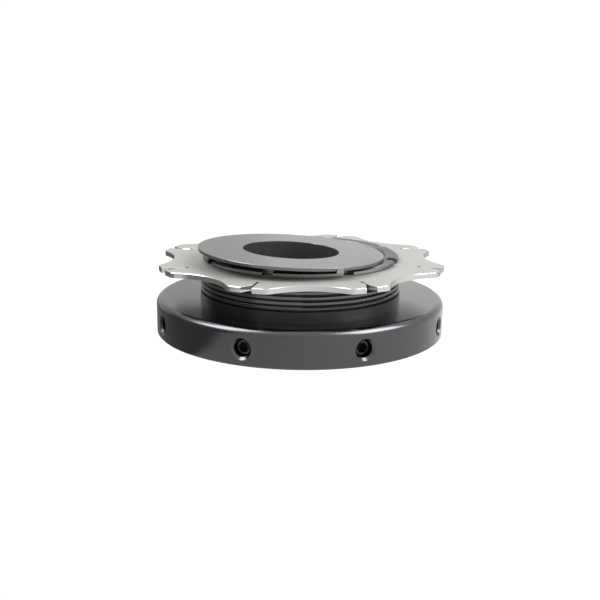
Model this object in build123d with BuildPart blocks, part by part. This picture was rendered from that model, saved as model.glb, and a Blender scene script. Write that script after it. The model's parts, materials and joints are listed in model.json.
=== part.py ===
from build123d import *
import math
import os

# Face mill on a flanged body: a thick body disc with a bolted hub, a stack of spacer rings on the hub,
# a slotted eight-tooth cutter plate, a notched lock nut with a captive washer, and a loose cover disc
# that lies cocked on the nut.  Millimetres, +Z up, z = 0 at the back face of the body, -Y to the front.
# An azimuth is measured in degrees from -Y towards +X, which is counter-clockwise from above.

# ---- driving dimensions -------------------------------------------------------------------------

stations = 8
step = 360 / stations

body_radius = 62.5
body_height = 15.2
body_edge_round = 2.75
body_back_chamfer = 0.5

arbor_radius = 20.0
drive_slot_width = 16.4
drive_slot_depth = 9.0

hub_spigot_radius = 32.0
hub_flange_radius = 43.6
hub_flange_bottom = 12.0
hub_flange_top = 17.9
hub_neck_radius = 36.0
hub_top = 33.3
hub_well_radius = 33.2
hub_well_floor = 19.0
hub_edge_chamfer = 0.7

ring_count = 5
ring_pitch = 2.15
ring_outer_radius = 43.4
ring_bore_radius = hub_neck_radius + 0.1
ring_edge_round = 0.4
groove_width = 0.46
groove_root_radius = 41.5

plate_bottom = hub_flange_top + ring_count * ring_pitch
plate_thickness = 2.55
plate_top = plate_bottom + plate_thickness
plate_tip_radius = 62.3
plate_turn = 3.0
plate_relief_radius = 44.5
plate_relief_depth = 0.4

nut_washer_thickness = 0.35
nut_gap = 0.05
nut_bottom = plate_top + nut_washer_thickness + 2 * nut_gap
nut_top = 33.6
nut_outer_radius = 42.4
nut_bore_radius = hub_neck_radius + 0.3
nut_notch_width = 4.6
nut_notch_depth = 4.0

cover_radius = 39.4
cover_bore_radius = 20.4
cover_thickness = 1.3
cover_centre = (-4.36, -9.9, 36.66)
cover_tilt = 2.57
cover_high_side = -80.5
cover_edge_chamfer = 0.15
cover_sleeve_radius = 21.6
cover_sleeve_length = 8.5

rim_hole_radius = 3.4
rim_hole_height = 6.9
rim_hole_bottom = 45.3
rim_countersink = 1.0
countersink_start = 0.2
screw_radius = 3.25
screw_length = 10.0
screw_recess = 3.0
screw_gap = 0.1
pellet_radius = 3.1
pellet_length = 3.0

hub_screw_count = 6
hub_screw_circle = 38.2

pin_count = 2
pin_radius = 2.0
pin_circle = 39.2
pin_bottom = 14.0
pin_below_plate_top = 0.3
pin_end_chamfer = 0.4


# ---- helpers ------------------------------------------------------------------------------------

def outward(azimuth):
    """Unit vector that points away from the axis at an azimuth."""
    angle = math.radians(azimuth)
    return Vector(math.sin(angle), -math.cos(angle), 0)


def polar_point(radius, azimuth):
    """Point in a horizontal sketch at a radius and an azimuth."""
    direction = outward(azimuth)
    return (radius * direction.X, radius * direction.Y)


def rim_plane(radius, azimuth, height):
    """Plane that faces outward at a radius, with its own x direction along the rim."""
    direction = outward(azimuth)
    across = Vector(-direction.Y, direction.X, 0)
    return Plane(origin=(radius * direction.X, radius * direction.Y, height), x_dir=across, z_dir=direction)


def write(builder, name):
    """Label the finished piece and write its STEP file."""
    builder.part.label = name
    export_step(builder.part, f"parts/{name}.step")


os.makedirs("parts", exist_ok=True)

rim_azimuths = [step * (k + 0.5) for k in range(stations)]
slot_azimuths = [azimuth + plate_turn for azimuth in rim_azimuths]
hub_screw_azimuths = [360 / hub_screw_count * k for k in range(hub_screw_count)]
pin_azimuths = [360 / pin_count * k + 90 for k in range(pin_count)]

# ---- body disc ----------------------------------------------------------------------------------

hub_screw_head_radius = 5.0
hub_screw_head_height = 6.0
hub_screw_radius = 3.0
hub_screw_recess = 1.0
hub_screw_tip = hub_flange_bottom + 5.0
hub_screw_seat = hub_screw_recess + hub_screw_head_height
hub_screw_socket_radius = 2.9
hub_screw_socket_depth = 3.0
hub_screw_head_clearance = 0.5
hub_screw_shank_clearance = 0.3

with BuildPart() as cutter_body:
    with BuildSketch(Plane.XY):
        Circle(body_radius)
    extrude(amount=body_height)
    top_rim = cutter_body.edges().filter_by(GeomType.CIRCLE).sort_by(Axis.Z)[-1]
    fillet(top_rim, radius=body_edge_round)
    back_rim = cutter_body.edges().filter_by(GeomType.CIRCLE).sort_by(Axis.Z)[0]
    chamfer(back_rim, length=body_back_chamfer)
    with BuildSketch(Plane.XY):
        Circle(hub_spigot_radius)
    extrude(amount=body_height, mode=Mode.SUBTRACT)
    with BuildSketch(Plane.XY.offset(hub_flange_bottom)):
        Circle(hub_flange_radius)
    extrude(amount=body_height - hub_flange_bottom, mode=Mode.SUBTRACT)
    # counterbored holes for the hub screws, from the back face
    with BuildSketch(Plane.XY):
        for azimuth in hub_screw_azimuths:
            with Locations(polar_point(hub_screw_circle, azimuth)):
                Circle(hub_screw_head_radius + hub_screw_head_clearance)
    extrude(amount=hub_screw_seat, mode=Mode.SUBTRACT)
    with BuildSketch(Plane.XY.offset(hub_screw_seat)):
        for azimuth in hub_screw_azimuths:
            with Locations(polar_point(hub_screw_circle, azimuth)):
                Circle(hub_screw_radius + hub_screw_shank_clearance)
    extrude(amount=hub_flange_bottom - hub_screw_seat, mode=Mode.SUBTRACT)
    # radial screw holes in the rim, each with a small countersink
    for azimuth in rim_azimuths:
        hole_length = body_radius - rim_hole_bottom
        with BuildSketch(rim_plane(body_radius, azimuth, rim_hole_height)):
            Circle(rim_hole_radius)
        extrude(amount=-hole_length, mode=Mode.SUBTRACT)
        with BuildSketch(rim_plane(body_radius + countersink_start, azimuth, rim_hole_height)):
            Circle(rim_hole_radius + rim_countersink + countersink_start)
        extrude(amount=-(rim_countersink + countersink_start), taper=45, mode=Mode.SUBTRACT)

write(cutter_body, "cutter_body")

# ---- hub ----------------------------------------------------------------------------------------

hub_key_width = 5.0
hub_key_depth = 1.6

with BuildPart() as hub:
    # the hub is one turned piece: spigot, flange, neck and the well for the arbor bolt
    with BuildSketch(Plane.XZ):
        with BuildLine():
            Polyline(
                (arbor_radius + hub_edge_chamfer, 0),
                (hub_spigot_radius, 0),
                (hub_spigot_radius, hub_flange_bottom),
                (hub_flange_radius, hub_flange_bottom),
                (hub_flange_radius, hub_flange_top - groove_width / 2),
                (groove_root_radius, hub_flange_top - groove_width / 2),
                (groove_root_radius, hub_flange_top),
                (hub_neck_radius, hub_flange_top),
                (hub_neck_radius, hub_top - hub_edge_chamfer),
                (hub_neck_radius - hub_edge_chamfer, hub_top),
                (hub_well_radius + hub_edge_chamfer, hub_top),
                (hub_well_radius, hub_top - hub_edge_chamfer),
                (hub_well_radius, hub_well_floor),
                (arbor_radius, hub_well_floor),
                (arbor_radius, hub_edge_chamfer),
                close=True,
            )
        make_face()
    revolve(axis=Axis.Z)
    # cross slot in the back face for the arbor's drive tenons
    with BuildSketch(Plane.XY):
        Rectangle(2 * hub_spigot_radius, drive_slot_width)
    extrude(amount=drive_slot_depth, mode=Mode.SUBTRACT)
    # keyway for the tab of the captive nut washer
    with BuildSketch(Plane.XY.offset(plate_top)):
        with Locations((0, hub_neck_radius)):
            Rectangle(hub_key_width, 2 * hub_key_depth)
    extrude(amount=hub_top - plate_top, mode=Mode.SUBTRACT)
    # tapped holes in the underside of the flange
    with BuildSketch(Plane.XY.offset(hub_flange_bottom)):
        for azimuth in hub_screw_azimuths:
            with Locations(polar_point(hub_screw_circle, azimuth)):
                Circle(hub_screw_radius)
    extrude(amount=hub_screw_tip - hub_flange_bottom, mode=Mode.SUBTRACT)
    # reamed holes for the drive pins
    with BuildSketch(Plane.XY.offset(pin_bottom)):
        for azimuth in pin_azimuths:
            with Locations(polar_point(pin_circle, azimuth)):
                Circle(pin_radius)
    extrude(amount=hub_flange_top - pin_bottom, mode=Mode.SUBTRACT)

write(hub, "hub")

# ---- hub screws: six identical socket cap screws in one group -------------------------------------

with BuildPart() as hub_screws:
    for azimuth in hub_screw_azimuths:
        centre = polar_point(hub_screw_circle, azimuth)
        with BuildSketch(Plane.XY.offset(hub_screw_recess)):
            with Locations(centre):
                Circle(hub_screw_head_radius)
        extrude(amount=hub_screw_head_height)
        with BuildSketch(Plane.XY.offset(hub_screw_seat)):
            with Locations(centre):
                Circle(hub_screw_radius)
        extrude(amount=hub_screw_tip - hub_screw_seat)
        with BuildSketch(Plane.XY.offset(hub_screw_recess)):
            with Locations(centre):
                RegularPolygon(hub_screw_socket_radius, 6)
        extrude(amount=hub_screw_socket_depth, mode=Mode.SUBTRACT)

write(hub_screws, "hub_screws")

# ---- spacer rings -------------------------------------------------------------------------------

for index in range(ring_count):
    ring_bottom = hub_flange_top + index * ring_pitch
    ring_top = ring_bottom + ring_pitch
    rebate = groove_width / 2
    with BuildPart() as spacer_ring:
        with BuildSketch(Plane.XZ):
            with BuildLine():
                Polyline(
                    (ring_bore_radius, ring_bottom),
                    (groove_root_radius, ring_bottom),
                    (groove_root_radius, ring_bottom + rebate),
                    (ring_outer_radius, ring_bottom + rebate),
                    (ring_outer_radius, ring_top - rebate),
                    (groove_root_radius, ring_top - rebate),
                    (groove_root_radius, ring_top),
                    (ring_bore_radius, ring_top),
                    close=True,
                )
            make_face()
        revolve(axis=Axis.Z)
        outer_edges = spacer_ring.edges().filter_by(GeomType.CIRCLE).group_by(SortBy.RADIUS)[-1]
        fillet(outer_edges, radius=ring_edge_round)
        with BuildSketch(Plane.XY.offset(ring_bottom)):
            for azimuth in pin_azimuths:
                with Locations(polar_point(pin_circle, azimuth)):
                    Circle(pin_radius)
        extrude(amount=ring_pitch, mode=Mode.SUBTRACT)
    write(spacer_ring, f"spacer_ring_{index + 1}")

# ---- cutter plate -------------------------------------------------------------------------------
# Eight round scallops cut the tip circle into teeth, and a slit with a lopsided mouth splits the
# leading side of each tooth down to a small relief hole.

scallop_radius = 26.0
scallop_centre_radius = 80.9
scallop_from_slit = 21.5
tooth_corner_round = 3.5
slit_end_radius = 52.4
slit_hole_radius = 0.75
slit_half_width = 0.3
mouth_start_radius = 56.5
mouth_radius = plate_tip_radius + 1.0
mouth_front = 1.3
mouth_back = 4.1
plate_edge_chamfer = 0.2


def slit_point(radius, sideways, base):
    """Point at a distance to the side of a slit's radial line."""
    direction = outward(base)
    return (radius * direction.X - sideways * direction.Y, radius * direction.Y + sideways * direction.X)


def distance_from_axis(corner):
    """Radius of a corner, rounded so that equal corners fall in one group."""
    return round(math.hypot(corner.X, corner.Y), 1)


scallop_points = [polar_point(scallop_centre_radius, base + scallop_from_slit) for base in slot_azimuths]

with BuildPart() as cutter_plate:
    with BuildSketch(Plane.XY.offset(plate_bottom)) as plate_outline:
        Circle(plate_tip_radius)
        with Locations(*scallop_points):
            Circle(scallop_radius, mode=Mode.SUBTRACT)
        tooth_corners = plate_outline.vertices().group_by(distance_from_axis)[-1]
        fillet(tooth_corners, radius=tooth_corner_round)
        for base in slot_azimuths:
            with BuildLine():
                Polyline(
                    slit_point(slit_end_radius, -slit_half_width, base),
                    slit_point(slit_end_radius, slit_half_width, base),
                    slit_point(mouth_start_radius, slit_half_width, base),
                    slit_point(mouth_radius, mouth_front, base),
                    slit_point(mouth_radius, -mouth_back, base),
                    slit_point(mouth_start_radius, -slit_half_width, base),
                    close=True,
                )
            make_face(mode=Mode.SUBTRACT)
        Circle(ring_bore_radius, mode=Mode.SUBTRACT)
    extrude(amount=plate_thickness)
    # the underside is relieved outside the seat, so the teeth are thinner than the middle
    with BuildSketch(Plane.XY.offset(plate_bottom)):
        Circle(mouth_radius)
        Circle(plate_relief_radius, mode=Mode.SUBTRACT)
    extrude(amount=plate_relief_depth, mode=Mode.SUBTRACT)
    outline = cutter_plate.edges().group_by(Axis.Z)[-1]
    chamfer(outline, length=plate_edge_chamfer)
    with BuildSketch(Plane.XY.offset(plate_bottom)):
        for azimuth in slot_azimuths:
            with Locations(polar_point(slit_end_radius, azimuth)):
                Circle(slit_hole_radius)
        for azimuth in pin_azimuths:
            with Locations(polar_point(pin_circle, azimuth)):
                Circle(pin_radius)
    extrude(amount=plate_thickness, mode=Mode.SUBTRACT)

write(cutter_plate, "cutter_plate")

# ---- drive pins ---------------------------------------------------------------------------------

for index, azimuth in enumerate(pin_azimuths):
    with BuildPart() as drive_pin:
        with BuildSketch(Plane.XY.offset(pin_bottom)):
            with Locations(polar_point(pin_circle, azimuth)):
                Circle(pin_radius)
        extrude(amount=plate_top - pin_below_plate_top - pin_bottom)
        pin_ends = drive_pin.edges().filter_by(GeomType.CIRCLE)
        chamfer(pin_ends, length=pin_end_chamfer)
    write(drive_pin, f"drive_pin_{index + 1}")

# ---- captive nut washer, keyed to the hub ---------------------------------------------------------

washer_outer_radius = 41.4
washer_tab_width = hub_key_width - 0.8
washer_tab_length = nut_bore_radius - hub_neck_radius + hub_key_depth - 0.6

with BuildPart() as nut_washer:
    with BuildSketch(Plane.XY.offset(plate_top + nut_gap)):
        Circle(washer_outer_radius)
        Circle(nut_bore_radius, mode=Mode.SUBTRACT)
        with Locations((0, nut_bore_radius)):
            Rectangle(washer_tab_width, 2 * washer_tab_length)
    extrude(amount=nut_washer_thickness)

write(nut_washer, "nut_washer")

# ---- lock nut -----------------------------------------------------------------------------------

nut_bevel_width = 1.2
nut_bevel_height = 0.7
nut_foot_chamfer = 0.2
nut_thread_chamfer = 0.5

with BuildPart() as lock_nut:
    with BuildSketch(Plane.XZ):
        with BuildLine():
            Polyline(
                (nut_bore_radius + nut_thread_chamfer, nut_bottom),
                (nut_outer_radius - nut_foot_chamfer, nut_bottom),
                (nut_outer_radius, nut_bottom + nut_foot_chamfer),
                (nut_outer_radius, nut_top - nut_bevel_height),
                (nut_outer_radius - nut_bevel_width, nut_top),
                (nut_bore_radius + nut_thread_chamfer, nut_top),
                (nut_bore_radius, nut_top - nut_thread_chamfer),
                (nut_bore_radius, nut_bottom + nut_thread_chamfer),
                close=True,
            )
        make_face()
    revolve(axis=Axis.Z)
    for azimuth in slot_azimuths:
        notch_floor = nut_outer_radius - nut_notch_depth
        with BuildSketch(rim_plane(notch_floor, azimuth, (nut_bottom + nut_top) / 2)):
            Rectangle(nut_notch_width, 2 * (nut_top - nut_bottom))
        extrude(amount=2 * nut_notch_depth, mode=Mode.SUBTRACT)

write(lock_nut, "lock_nut")

# ---- retaining ring: a flat open ring with one ear that climbs past the cover's edge ---------------

clip_inner_radius = 33.0
clip_outer_radius = 35.6
clip_bottom = nut_top + 0.05
clip_thickness = 0.5
clip_gap_azimuths = (26.0, 76.0, 125.0, 175.0)
ear_azimuth = 17.5
ear_width = 2.8
ear_outer_radius = 47.7
ear_rise = 0.5
ear_tip_height = 35.75

with BuildPart() as retaining_ring:
    with BuildSketch(Plane.XY.offset(clip_bottom)):
        Circle(clip_outer_radius)
        Circle(clip_inner_radius, mode=Mode.SUBTRACT)
        gap_corners = [polar_point(2 * clip_outer_radius, azimuth) for azimuth in clip_gap_azimuths]
        with BuildLine():
            Polyline((0, 0), *gap_corners, close=True)
        make_face(mode=Mode.SUBTRACT)
    extrude(amount=clip_thickness)
    # the ear, drawn in the upright plane that holds its azimuth
    ear_direction = outward(ear_azimuth)
    ear_plane = Plane(origin=(0, 0, 0), x_dir=ear_direction, z_dir=ear_direction.cross(Vector(0, 0, 1)))
    ear_root = clip_outer_radius - clip_thickness
    ear_inside = ear_outer_radius - clip_thickness
    with BuildSketch(ear_plane):
        with BuildLine():
            Polyline(
                (ear_root, clip_bottom),
                (clip_outer_radius, clip_bottom),
                (ear_outer_radius, clip_bottom + ear_rise),
                (ear_outer_radius, ear_tip_height),
                (ear_inside, ear_tip_height),
                (ear_inside, clip_bottom + ear_rise + clip_thickness),
                (clip_outer_radius, clip_bottom + clip_thickness),
                (ear_root, clip_bottom + clip_thickness),
                close=True,
            )
        make_face()
    extrude(amount=ear_width / 2, both=True)

write(retaining_ring, "retaining_ring")

# ---- cover disc, cocked on the nut, with its sleeve hanging in the hub's well -----------------------

uphill = outward(cover_high_side)
slope = math.tan(math.radians(cover_tilt))
cover_normal = Vector(-slope * uphill.X, -slope * uphill.Y, 1)
cover_across = Vector(1, 0, slope * uphill.X)
cover_plane = Plane(origin=cover_centre, x_dir=cover_across, z_dir=cover_normal)

with BuildPart() as cover_disc:
    with BuildSketch(cover_plane):
        Circle(cover_radius)
    extrude(amount=-cover_thickness)
    chamfer(cover_disc.edges().filter_by(GeomType.CIRCLE), length=cover_edge_chamfer)
    with BuildSketch(cover_plane.offset(-cover_thickness)):
        Circle(cover_sleeve_radius)
    extrude(amount=-cover_sleeve_length)
    with BuildSketch(cover_plane):
        Circle(cover_bore_radius)
    extrude(amount=-(cover_thickness + cover_sleeve_length), mode=Mode.SUBTRACT)
    mouth_edge = cover_disc.edges().filter_by(GeomType.CIRCLE).group_by(SortBy.RADIUS)[0].sort_by(Axis.Z)[-1]
    chamfer(mouth_edge, length=cover_edge_chamfer)

write(cover_disc, "cover_disc")

# ---- balance screws and the brass pellets under them ----------------------------------------------

screw_face_radius = body_radius - screw_recess
screw_tip_radius = screw_face_radius - screw_length
pellet_face_radius = screw_tip_radius - screw_gap
socket_radius = 2.31
socket_depth = 4.0
socket_step = 17
screw_end_chamfer = 0.5
pellet_end_chamfer = 0.3

for index, azimuth in enumerate(rim_azimuths):
    with BuildPart() as balance_screw:
        with BuildSketch(rim_plane(screw_face_radius, azimuth, rim_hole_height)):
            Circle(screw_radius)
        extrude(amount=-screw_length)
        chamfer(balance_screw.edges().filter_by(GeomType.CIRCLE), length=screw_end_chamfer)
        with BuildSketch(rim_plane(screw_face_radius, azimuth, rim_hole_height)):
            RegularPolygon(socket_radius, 6, rotation=socket_step * index)
        extrude(amount=-socket_depth, mode=Mode.SUBTRACT)
    write(balance_screw, f"balance_screw_{index + 1}")

    with BuildPart() as lock_pellet:
        with BuildSketch(rim_plane(pellet_face_radius, azimuth, rim_hole_height)):
            Circle(pellet_radius)
        extrude(amount=-pellet_length)
        chamfer(lock_pellet.edges().filter_by(GeomType.CIRCLE), length=pellet_end_chamfer)
    write(lock_pellet, f"lock_pellet_{index + 1}")
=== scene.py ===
import json
import math

import bpy
from mathutils import Matrix, Vector

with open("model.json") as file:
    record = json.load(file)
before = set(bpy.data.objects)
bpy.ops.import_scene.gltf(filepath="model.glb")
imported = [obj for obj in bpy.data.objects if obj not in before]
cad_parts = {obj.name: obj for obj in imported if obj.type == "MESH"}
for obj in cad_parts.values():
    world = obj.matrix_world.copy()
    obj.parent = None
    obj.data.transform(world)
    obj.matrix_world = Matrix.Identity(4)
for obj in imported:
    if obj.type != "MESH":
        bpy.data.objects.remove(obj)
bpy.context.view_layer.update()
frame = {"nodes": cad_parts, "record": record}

nodes = frame["nodes"]

MM = 0.001

# ---- camera --------------------------------------------------------------------------------------
# The mill is seen from the front and a little above, with the camera rolled slightly.

CAMERA_DISTANCE = 395.0 * MM
CAMERA_HEIGHT = 109.8 * MM
CAMERA_AZIMUTH = math.radians(-1.51)
CAMERA_PITCH = math.radians(13.89)
CAMERA_ROLL = math.radians(0.75)
CAMERA_LENS = 55.27
SENSOR_WIDTH = 36.0
NEAR_CLIP = 10.0 * MM


def add_camera():
    """A camera at the front, pitched down towards the axis of the mill."""
    data = bpy.data.cameras.new("camera")
    data.lens = CAMERA_LENS
    data.sensor_width = SENSOR_WIDTH
    data.clip_start = NEAR_CLIP
    camera = bpy.data.objects.new("camera", data)
    bpy.context.scene.collection.objects.link(camera)
    place = Vector((
        CAMERA_DISTANCE * math.sin(CAMERA_AZIMUTH),
        -CAMERA_DISTANCE * math.cos(CAMERA_AZIMUTH),
        CAMERA_HEIGHT,
    ))
    turn = Matrix.Rotation(CAMERA_AZIMUTH, 4, "Z")
    tilt = Matrix.Rotation(math.pi / 2 - CAMERA_PITCH, 4, "X")
    roll = Matrix.Rotation(CAMERA_ROLL, 4, "Z")
    camera.matrix_world = Matrix.Translation(place) @ turn @ tilt @ roll
    bpy.context.scene.camera = camera


# ---- floor and light -------------------------------------------------------------------------------
# The floor and the surround look plain white.  What the metal sees in them is dimmer on the left, as it
# would be with a dark screen on that side of the table; in the floor's own glow this dimming is painted
# shade.

WORLD_LIGHT = 1.15
FLOOR_LIGHT = 0.9
SHADED_LIGHT = 0.25
RIGHT_SIDE_GAIN = 1.4
SEEN_WHITE = 1.05

# Azimuths in degrees from the front (-Y) towards +X: where each dim part starts and ends, how soft its
# ends are, and where the right side's gain sets in and is full.
FLOOR_DIM_START, FLOOR_DIM_END = -46, -158
WORLD_DIM_START, WORLD_DIM_END = -55, -125
START_SOFTNESS, END_SOFTNESS = 4, 10
GAIN_START, GAIN_FULL = -20, 50

# The dim part of the surround fades out between these heights (the Z of the direction looked in).
FADE_LOW, FADE_HIGH = 0.35, 0.55

FLOOR_HALF_WIDTH = 6.0
FLOOR_DROP = 0.2 * MM
LIGHT_TARGET_HEIGHT = 20.0 * MM

LINE_DETAIL = 2.0
CLOUD_DETAIL = 3.0


class Nodes:
    """A short way to write shader nodes."""

    def __init__(self, tree):
        self.tree = tree

    def add(self, kind, **settings):
        node = self.tree.nodes.new("ShaderNode" + kind)
        for key, value in settings.items():
            setattr(node, key, value)
        return node

    def link(self, source, target):
        self.tree.links.new(source, target)

    def math(self, operation, first, second=0.0):
        node = self.add("Math", operation=operation)
        for socket, value in zip(node.inputs, (first, second)):
            if isinstance(value, (int, float)):
                socket.default_value = value
            else:
                self.link(value, socket)
        return node.outputs[0]

    def spread(self, value, low, high, to_low, to_high):
        """Maps a value from one range to another, held at both ends."""
        node = self.add("MapRange", clamp=True)
        self.link(value, node.inputs["Value"])
        node.inputs["From Min"].default_value = low
        node.inputs["From Max"].default_value = high
        node.inputs["To Min"].default_value = to_low
        node.inputs["To Max"].default_value = to_high
        return node.outputs["Result"]

    def place(self, kind):
        """One kind of texture coordinate, as a vector."""
        return self.add("TexCoord").outputs[kind]

    def parts(self, vector):
        """The X, Y and Z of a vector."""
        split = self.add("SeparateXYZ")
        self.link(vector, split.inputs[0])
        return split.outputs

    def length(self, first, second):
        """The length of a flat vector from its two parts."""
        squares = [self.math("MULTIPLY", part, part) for part in (first, second)]
        return self.math("SQRT", self.math("ADD", *squares))

    def lines(self, value, scale):
        """Noise along one value: fine parallel tool marks."""
        node = self.add("TexNoise", noise_dimensions="1D")
        node.inputs["Scale"].default_value = scale
        node.inputs["Detail"].default_value = LINE_DETAIL
        self.link(value, node.inputs["W"])
        return node.outputs["Fac"]

    def cloud(self, vector, scale):
        """Soft blotches in three dimensions."""
        node = self.add("TexNoise", noise_dimensions="3D")
        node.inputs["Scale"].default_value = scale
        node.inputs["Detail"].default_value = CLOUD_DETAIL
        self.link(vector, node.inputs["Vector"])
        return node.outputs["Fac"]


def shaded_side(nt, direction, dim_start, dim_end, bright):
    """Light by azimuth: bright, but dim from the left round to the back, and brighter on the right."""
    azimuth = nt.math("ARCTAN2", direction["X"], nt.math("MULTIPLY", direction["Y"], -1.0))

    def step(middle, softness, before, after):
        low, high = math.radians(middle - softness), math.radians(middle + softness)
        return nt.spread(azimuth, low, high, before, after)

    front = step(dim_start, START_SOFTNESS, 0.0, 1.0)
    back = step(dim_end, END_SOFTNESS, 1.0, 0.0)
    lit = nt.math("MAXIMUM", front, back)
    right_edge = math.radians(GAIN_START), math.radians(GAIN_FULL)
    gain = nt.spread(azimuth, *right_edge, bright, RIGHT_SIDE_GAIN * bright)
    return nt.math("MAXIMUM", nt.math("MULTIPLY", lit, gain), SHADED_LIGHT)


def white_to_camera(nt, light):
    """Plain white where the camera looks at it, and the given light for everything else."""
    seen = nt.add("LightPath").outputs["Is Camera Ray"]
    return nt.math("MAXIMUM", light, nt.math("MULTIPLY", seen, SEEN_WHITE))


def add_floor():
    """A wide white floor that gives its own light, with painted shade in that light from the left round to
    the back.
    """
    mesh = bpy.data.meshes.new("floor")
    signs = [(-1, -1), (1, -1), (1, 1), (-1, 1)]
    corners = [(x * FLOOR_HALF_WIDTH, y * FLOOR_HALF_WIDTH, -FLOOR_DROP) for x, y in signs]
    mesh.from_pydata(corners, [], [(0, 1, 2, 3)])
    floor = bpy.data.objects.new("floor", mesh)
    bpy.context.scene.collection.objects.link(floor)
    material = bpy.data.materials.new("floor_white")
    material.use_nodes = True
    nt = Nodes(material.node_tree)
    nt.tree.nodes.remove(nt.tree.nodes["Principled BSDF"])
    # Painted shade: the floor's glow is dim from the left round to the back; the camera still sees it plain
    # white.
    light = shaded_side(nt, nt.parts(nt.place("Object")), FLOOR_DIM_START, FLOOR_DIM_END, FLOOR_LIGHT)
    glow = nt.add("Emission")
    nt.link(white_to_camera(nt, light), glow.inputs["Strength"])
    nt.link(glow.outputs[0], nt.tree.nodes["Material Output"].inputs["Surface"])
    mesh.materials.append(material)


def add_light(name, azimuth, elevation, distance, size, radiance):
    """A square soft light at an azimuth from the front (-Y) towards +X, facing the mill."""
    turn = math.radians(azimuth)
    rise = math.radians(elevation)
    direction = Vector((math.sin(turn) * math.cos(rise), -math.cos(turn) * math.cos(rise), math.sin(rise)))
    data = bpy.data.lights.new(name, "AREA")
    data.shape = "SQUARE"
    data.size = size
    data.energy = radiance * math.pi * size * size
    light = bpy.data.objects.new(name, data)
    bpy.context.scene.collection.objects.link(light)
    place = direction * distance + Vector((0, 0, LIGHT_TARGET_HEIGHT))
    light.matrix_world = Matrix.Translation(place) @ direction.to_track_quat("Z", "Y").to_matrix().to_4x4()


def set_world():
    """A white surround, dim low down from the left round to the back."""
    world = bpy.data.worlds.new("studio")
    world.use_nodes = True
    nt = Nodes(world.node_tree)
    direction = nt.parts(nt.place("Generated"))
    light = shaded_side(nt, direction, WORLD_DIM_START, WORLD_DIM_END, WORLD_LIGHT / RIGHT_SIDE_GAIN)
    high = nt.spread(direction["Z"], FADE_LOW, FADE_HIGH, 0.0, WORLD_LIGHT)
    background = nt.tree.nodes["Background"]
    background.inputs["Color"].default_value = (1, 1, 1, 1)
    nt.link(white_to_camera(nt, nt.math("MAXIMUM", light, high)), background.inputs["Strength"])
    bpy.context.scene.world = world


add_camera()
add_floor()
set_world()
add_light("left_back", -80, 49, 0.9, 0.55, 9.0)
add_light("right_high", 66, 40, 0.9, 0.60, 10.0)
bpy.context.scene.view_settings.view_transform = "Standard"


# ---- materials -------------------------------------------------------------------------------------
# All metals are made alike: turning marks, blotches and fine grain change the tone and the polish.

# Noise cells per metre.
PATCH_SCALE = 60.0
FINE_SCALE = 900.0
MARK_SCALE = 3000.0

# How much the height counts in the turning marks, beside the distance from the axis.
SIDE_MARKS = 0.83

# What the tone is mixed from, and the noise values where it is darkest and lightest.
PATCH_SHARE, MARK_SHARE = 0.7, 0.3
TONE_LOW, TONE_HIGH = 0.3, 0.7

# How much fine grain is added to the blotches for the polish, where it starts and ends, and how far it goes.
FINE_SHARE = 0.5
ROUGH_LOW, ROUGH_HIGH = 0.5, 1.0
ROUGH_SWING = 0.12

# The Z of a face's normal where it counts as a side, and from where it counts as a top.
FACE_STEEP, FACE_FLAT = 0.80, 0.95


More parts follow.
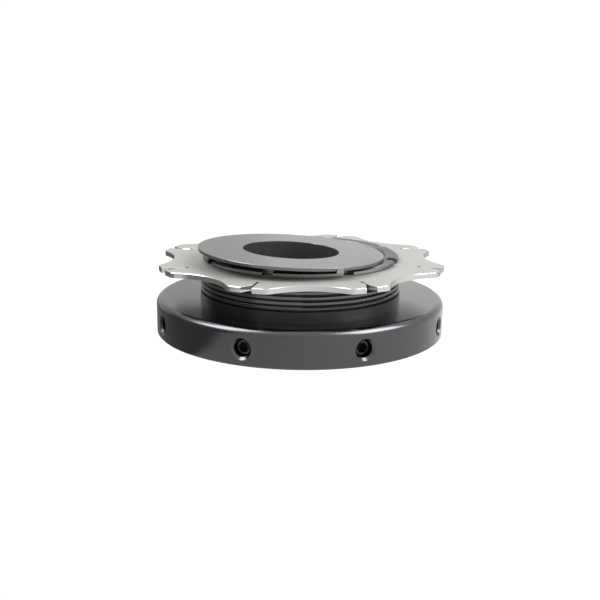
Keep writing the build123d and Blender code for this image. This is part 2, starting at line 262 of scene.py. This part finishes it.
def finish_metal(name, colour, roughness, marks=0.02, blotch=0.12, grain=0.0, metallic=1.0, edge=1.0,
                 gloss=0.5, wall=None):
    """Metal with turning marks round the Z axis, faint blotches and an uneven polish.

    marks is the depth of the marks in millimetres, blotch the change of tone, and grain the height of the
    fine grain as a share of the marks. edge tints the grazing reflection and gloss is the specular level.
    wall is the colour and roughness of the side and under faces where they are polished unlike the top.
    """
    material = bpy.data.materials.new(name)
    material.use_nodes = True
    nt = Nodes(material.node_tree)
    shader = nt.tree.nodes["Principled BSDF"]
    place = nt.place("Object")
    split = nt.parts(place)
    turned = nt.math("ADD", nt.length(split["X"], split["Y"]), nt.math("MULTIPLY", split["Z"], SIDE_MARKS))
    marking = nt.lines(turned, MARK_SCALE)
    patches = nt.cloud(place, PATCH_SCALE)
    fine = nt.cloud(place, FINE_SCALE)
    tone = nt.math("ADD", nt.math("MULTIPLY", patches, PATCH_SHARE), nt.math("MULTIPLY", marking, MARK_SHARE))
    mix = nt.add("Mix", data_type="RGBA")
    nt.link(nt.spread(tone, TONE_LOW, TONE_HIGH, 0.0, 1.0), mix.inputs["Factor"])
    mix.inputs["A"].default_value = (*[c * (1 - blotch) for c in colour], 1)
    mix.inputs["B"].default_value = (*[min(1.0, c * (1 + blotch)) for c in colour], 1)
    nt.link(mix.outputs["Result"], shader.inputs["Base Color"])
    shader.inputs["Metallic"].default_value = metallic
    shader.inputs["Specular Tint"].default_value = (edge, edge, edge, 1)
    shader.inputs["Specular IOR Level"].default_value = gloss
    rough = nt.spread(nt.math("ADD", patches, nt.math("MULTIPLY", fine, FINE_SHARE)), ROUGH_LOW, ROUGH_HIGH,
                      roughness * (1 - ROUGH_SWING), roughness * (1 + ROUGH_SWING))
    nt.link(rough, shader.inputs["Roughness"])
    if wall:
        flat = nt.spread(nt.parts(nt.place("Normal"))["Z"], FACE_STEEP, FACE_FLAT, 0.0, 1.0)
        tint = nt.add("Mix", data_type="RGBA")
        nt.link(flat, tint.inputs["Factor"])
        tint.inputs["A"].default_value = (*wall[0], 1)
        nt.link(mix.outputs["Result"], tint.inputs["B"])
        nt.link(tint.outputs["Result"], shader.inputs["Base Color"])
        if metallic < 1.0:
            nt.link(nt.spread(flat, 0.0, 1.0, 1.0, metallic), shader.inputs["Metallic"])
        polish = nt.add("Mix", data_type="FLOAT")
        nt.link(flat, polish.inputs["Factor"])
        polish.inputs["A"].default_value = wall[1]
        nt.link(rough, polish.inputs["B"])
        nt.link(polish.outputs["Result"], shader.inputs["Roughness"])
    bump = nt.add("Bump")
    bump.inputs["Strength"].default_value = 1.0
    bump.inputs["Distance"].default_value = marks * MM
    nt.link(nt.math("ADD", marking, nt.math("MULTIPLY", fine, grain)), bump.inputs["Height"])
    nt.link(bump.outputs["Normal"], shader.inputs["Normal"])
    return material


finishes = {
    "body_black": finish_metal("body_black", (0.095, 0.095, 0.099), 0.19, marks=0.0015,
                               blotch=0.06, grain=0.1, wall=((0.085, 0.086, 0.091), 0.23)),
    "hub_black": finish_metal("hub_black", (0.085, 0.085, 0.088), 0.24, marks=0.003),
    "ring_black": finish_metal("ring_black", (0.12, 0.12, 0.121), 0.20, marks=0.003),
    "plate_steel": finish_metal("plate_steel", (0.29, 0.29, 0.278), 0.50, marks=0.001,
                                blotch=0.04, grain=0.8, metallic=0.35, edge=0.5, gloss=0.2,
                                wall=((0.53, 0.52, 0.50), 0.20)),
    "nut_black": finish_metal("nut_black", (0.25, 0.25, 0.252), 0.38, marks=0.004, blotch=0.15, edge=0.55),
    "washer_steel": finish_metal("washer_steel", (0.3, 0.3, 0.3), 0.35),
    "clip_steel": finish_metal("clip_steel", (0.3, 0.29, 0.32), 0.35),
    "cover_black": finish_metal("cover_black", (0.155, 0.151, 0.146), 0.24, marks=0.001,
                                blotch=0.04, grain=0.3, metallic=0.85, edge=0.87),
    "screw_black": finish_metal("screw_black", (0.05, 0.05, 0.052), 0.22, marks=0.003),
    "pin_steel": finish_metal("pin_steel", (0.55, 0.55, 0.55), 0.25),
    "pellet_brass": finish_metal("pellet_brass", (0.78, 0.60, 0.28), 0.3),
}
for part in frame["record"]["subparts"]:
    obj = nodes[part["node"]]
    obj.data.materials.clear()
    obj.data.materials.append(finishes[part["material_slot"]])
